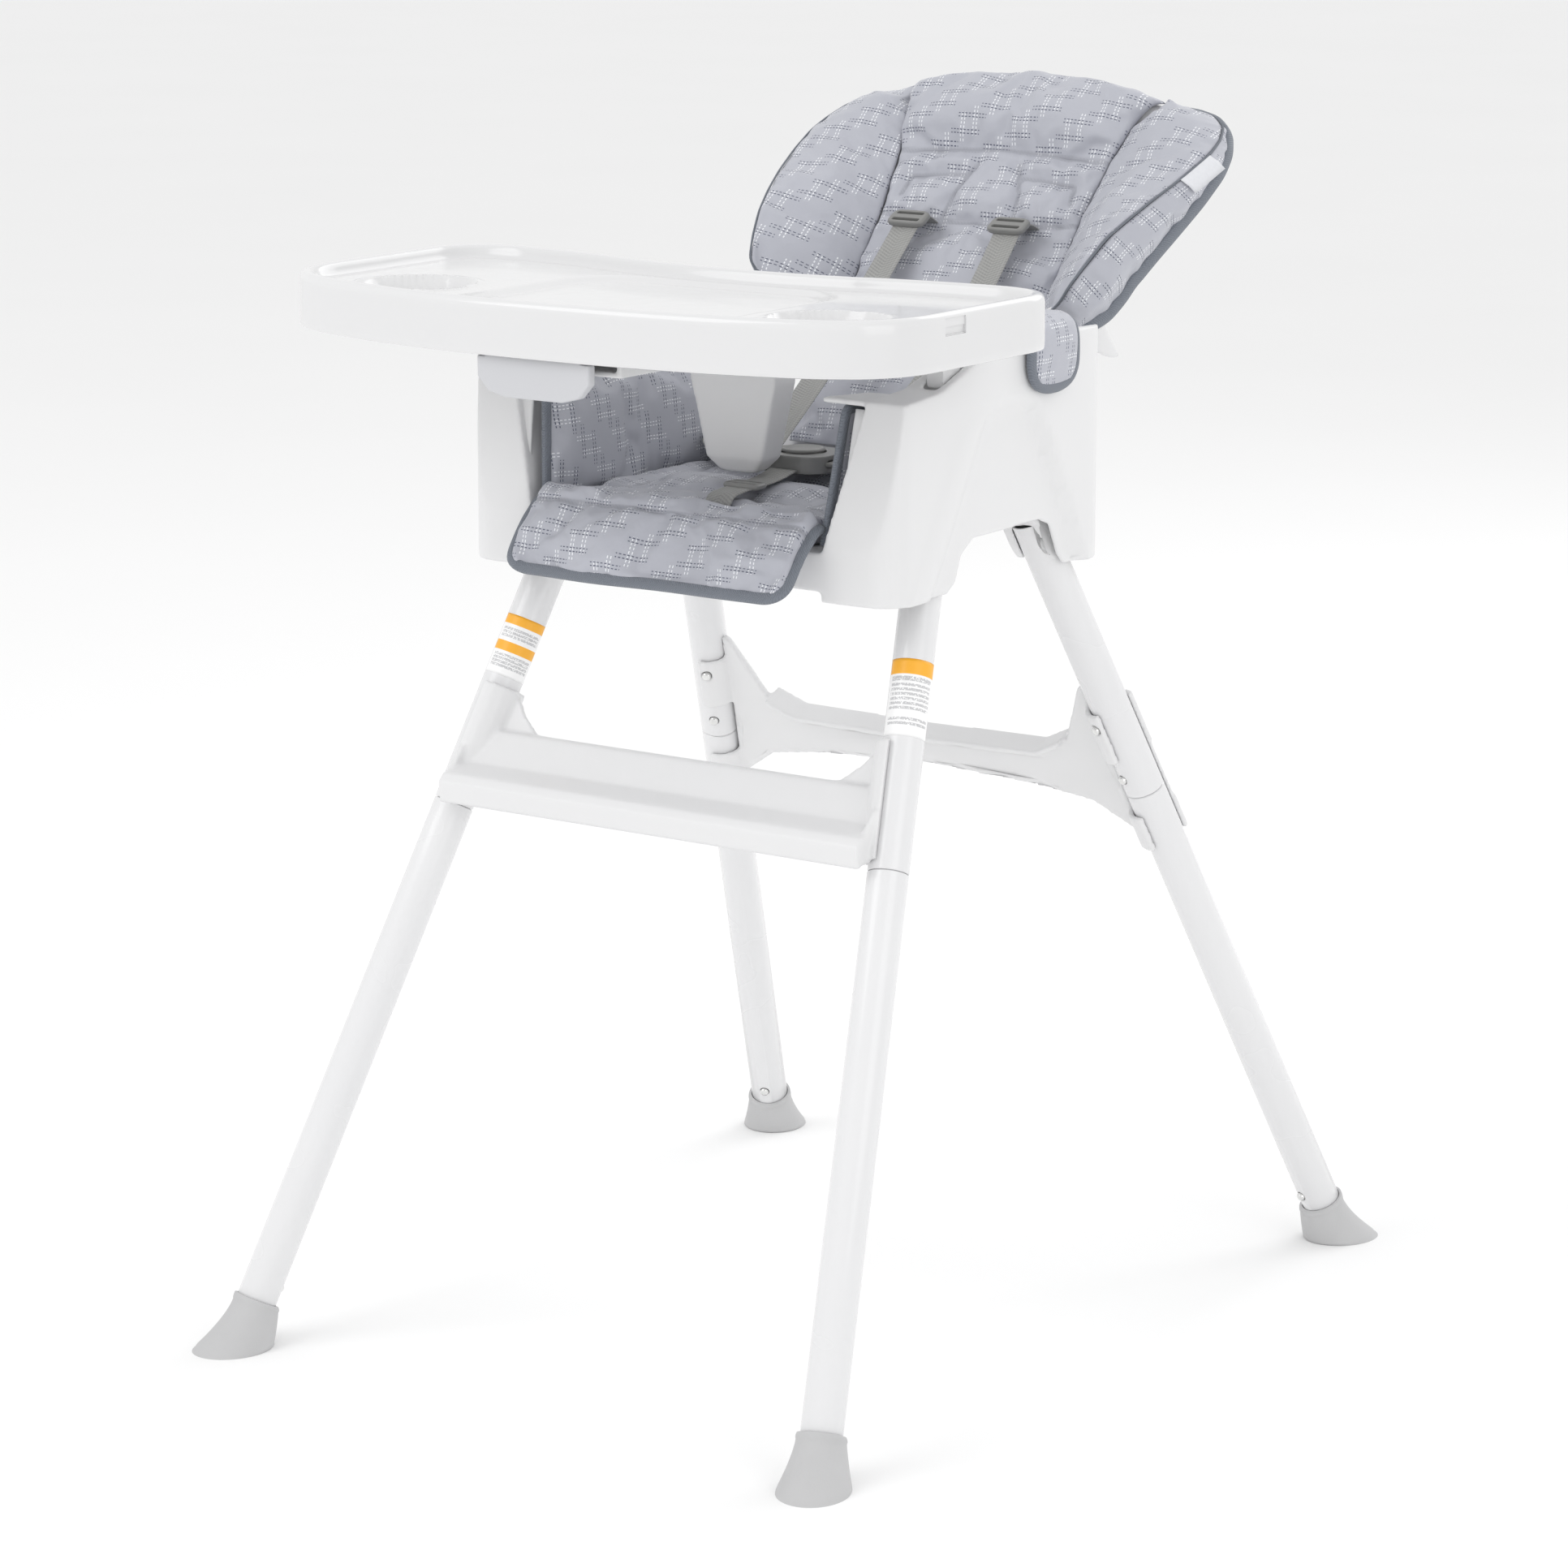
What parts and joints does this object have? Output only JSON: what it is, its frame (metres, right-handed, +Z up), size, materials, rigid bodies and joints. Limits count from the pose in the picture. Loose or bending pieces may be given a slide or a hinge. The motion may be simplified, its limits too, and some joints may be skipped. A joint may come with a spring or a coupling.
{
  "type": "baby high chair",
  "caption": "Tall baby high chair with splayed tube legs, footrest, reclining padded seat, harness and a slide-on tray.",
  "frame": {"origin": "on the floor, in the middle of the box around the four feet", "axes": "+Z up, the child faces -Y, +X is on the child's left"},
  "size_m": [0.6474, 0.831, 0.9755],
  "materials": {
    "leg_paint": "gloss white powder coat on round steel tube",
    "foot_rubber": "matte light grey rubber",
    "button_steel": "bright plated steel",
    "white_plastic": "satin white moulded plastic",
    "tray_plastic": "smooth gloss white moulded plastic",
    "grey_plastic": "satin light grey moulded plastic",
    "buckle_plastic": "satin mid grey moulded plastic",
    "seat_fabric": "satiny grey woven polyester with a small dashed print",
    "webbing": "flat woven grey polyester webbing"
  },
  "bodies": {
    "frame": {"armrest_cover_left": "seat_fabric", "armrest_cover_right": "seat_fabric", "buckle_housing": "buckle_plastic", "buckle_tongue_left": "buckle_plastic", "buckle_tongue_right": "buckle_plastic", "crotch_strap": "webbing", "foot_front_left": "foot_rubber", "foot_front_right": "foot_rubber", "foot_rear_left": "foot_rubber", "foot_rear_right": "foot_rubber", "footrest": "white_plastic", "hinge_pin_left": "button_steel", "hinge_pin_right": "button_steel", "leg_flap": "seat_fabric", "lower_leg_front_left": "leg_paint", "lower_leg_front_right": "leg_paint", "lower_leg_rear_left": "leg_paint", "lower_leg_rear_right": "leg_paint", "rear_brace": "white_plastic", "seat_base": "white_plastic", "seat_cushion": "seat_fabric", "side_pad_left": "seat_fabric", "side_pad_right": "seat_fabric", "upper_leg_front_left": "leg_paint", "upper_leg_front_right": "leg_paint", "upper_leg_rear_left": "leg_paint", "upper_leg_rear_right": "leg_paint", "waist_strap_left": "webbing", "waist_strap_right": "webbing"},
    "seat_back": {"seat_back_shell": "white_plastic", "back_pad": "seat_fabric", "shoulder_strap_left": "webbing", "shoulder_strap_right": "webbing"},
    "recline_handle": {"recline_handle": "grey_plastic"},
    "recline_latch": {"recline_latch": "grey_plastic"},
    "strap_adjuster_left": {"strap_adjuster_left": "buckle_plastic"},
    "strap_adjuster_right": {"strap_adjuster_right": "buckle_plastic"},
    "tray": {"tray": "tray_plastic", "crotch_post": "tray_plastic", "lever_housing": "tray_plastic", "lever_pin": "button_steel", "tray_runner_left": "tray_plastic", "tray_runner_right": "tray_plastic"},
    "tray_lever": {"tray_lever": "grey_plastic"},
    "tray_latch_left": {"tray_latch_left": "grey_plastic"},
    "tray_latch_right": {"tray_latch_right": "grey_plastic"},
    "buckle_button": {"buckle_button": "buckle_plastic"},
    "foot_button_front_left": {"foot_button_front_left": "button_steel"},
    "leg_button_front_left": {"leg_button_front_left": "button_steel"},
    "foot_button_front_right": {"foot_button_front_right": "button_steel"},
    "leg_button_front_right": {"leg_button_front_right": "button_steel"},
    "foot_button_rear_left": {"foot_button_rear_left": "button_steel"},
    "leg_button_rear_left": {"leg_button_rear_left": "button_steel"},
    "foot_button_rear_right": {"foot_button_rear_right": "button_steel"},
    "leg_button_rear_right": {"leg_button_rear_right": "button_steel"},
    "brace_button_rear_left": {"brace_button_rear_left": "button_steel"},
    "brace_button_rear_right": {"brace_button_rear_right": "button_steel"}
  },
  "joints": [
    {"name": "back_recline", "type": "hinge", "parent": "frame", "child": "seat_back", "pos_m": [0, 0.11, 0.683], "axis": [1, 0, 0], "range_deg": [0, 20]},
    {"name": "recline_handle_lift", "type": "slide", "parent": "seat_back", "child": "recline_handle", "axis": [0, 0.6157, 0.788], "range_m": [0, 0.012], "stiffness_N_per_m": 600, "springref_m": -0.004},
    {"name": "recline_latch_lift", "type": "slide", "parent": "seat_back", "child": "recline_latch", "axis": [0, 0.6157, 0.788], "range_m": [0, 0.008]},
    {"name": "strap_adjust_left", "type": "slide", "parent": "seat_back", "child": "strap_adjuster_left", "axis": [0, -0.6157, -0.788], "range_m": [0, 0.05]},
    {"name": "strap_adjust_right", "type": "slide", "parent": "seat_back", "child": "strap_adjuster_right", "axis": [0, -0.6157, -0.788], "range_m": [0, 0.05]},
    {"name": "tray_slide", "type": "slide", "parent": "frame", "child": "tray", "axis": [0, 1, 0], "range_m": [-0.04, 0.007]},
    {"name": "tray_lever_pull", "type": "hinge", "parent": "tray", "child": "tray_lever", "pos_m": [0, -0.3378, 0.817], "axis": [1, 0, 0], "range_deg": [0, 14], "stiffness_Nm_per_rad": 0.5, "springref_deg": -11.46},
    {"name": "tray_latch_left_draw", "type": "slide", "parent": "tray", "child": "tray_latch_left", "axis": [1, 0, 0], "range_m": [0, 0.008]},
    {"name": "tray_latch_right_draw", "type": "slide", "parent": "tray", "child": "tray_latch_right", "axis": [-1, 0, 0], "range_m": [0, 0.008]},
    {"name": "buckle_button_press", "type": "slide", "parent": "frame", "child": "buckle_button", "axis": [0, 0, -1], "range_m": [0, 0.003], "stiffness_N_per_m": 400, "springref_m": -0.002},
    {"name": "foot_button_front_left_press", "type": "slide", "parent": "frame", "child": "foot_button_front_left", "axis": [-0.301, -0.8422, 0.4473], "range_m": [0, 0.0035], "stiffness_N_per_m": 400, "springref_m": -0.002},
    {"name": "leg_button_front_left_press", "type": "slide", "parent": "frame", "child": "leg_button_front_left", "axis": [-0.301, -0.8422, 0.4473], "range_m": [0, 0.0035], "stiffness_N_per_m": 400, "springref_m": -0.002},
    {"name": "foot_button_front_right_press", "type": "slide", "parent": "frame", "child": "foot_button_front_right", "axis": [0.301, -0.8422, 0.4473], "range_m": [0, 0.0035], "stiffness_N_per_m": 400, "springref_m": -0.002},
    {"name": "leg_button_front_right_press", "type": "slide", "parent": "frame", "child": "leg_button_front_right", "axis": [0.301, -0.8422, 0.4473], "range_m": [0, 0.0035], "stiffness_N_per_m": 400, "springref_m": -0.002},
    {"name": "foot_button_rear_left_press", "type": "slide", "parent": "frame", "child": "foot_button_rear_left", "axis": [-0.3436, 0.8247, 0.4491], "range_m": [0, 0.0035], "stiffness_N_per_m": 400, "springref_m": -0.002},
    {"name": "leg_button_rear_left_press", "type": "slide", "parent": "frame", "child": "leg_button_rear_left", "axis": [-0.3436, 0.8247, 0.4491], "range_m": [0, 0.0035], "stiffness_N_per_m": 400, "springref_m": -0.002},
    {"name": "brace_button_rear_left_press", "type": "slide", "parent": "frame", "child": "brace_button_rear_left", "axis": [-0.3436, 0.8247, 0.4491], "range_m": [0, 0.0035], "stiffness_N_per_m": 400, "springref_m": -0.002},
    {"name": "foot_button_rear_right_press", "type": "slide", "parent": "frame", "child": "foot_button_rear_right", "axis": [0.3436, 0.8247, 0.4491], "range_m": [0, 0.0035], "stiffness_N_per_m": 400, "springref_m": -0.002},
    {"name": "leg_button_rear_right_press", "type": "slide", "parent": "frame", "child": "leg_button_rear_right", "axis": [0.3436, 0.8247, 0.4491], "range_m": [0, 0.0035], "stiffness_N_per_m": 400, "springref_m": -0.002},
    {"name": "brace_button_rear_right_press", "type": "slide", "parent": "frame", "child": "brace_button_rear_right", "axis": [0.3436, 0.8247, 0.4491], "range_m": [0, 0.0035], "stiffness_N_per_m": 400, "springref_m": -0.002}
  ],
  "couplings": [
    {"joint": "recline_latch_lift", "follows": "recline_handle_lift", "ratio": 0.66},
    {"joint": "tray_latch_left_draw", "follows": "tray_lever_pull", "m_per_rad": 0.0325},
    {"joint": "tray_latch_right_draw", "follows": "tray_lever_pull", "m_per_rad": 0.0325}
  ]
}
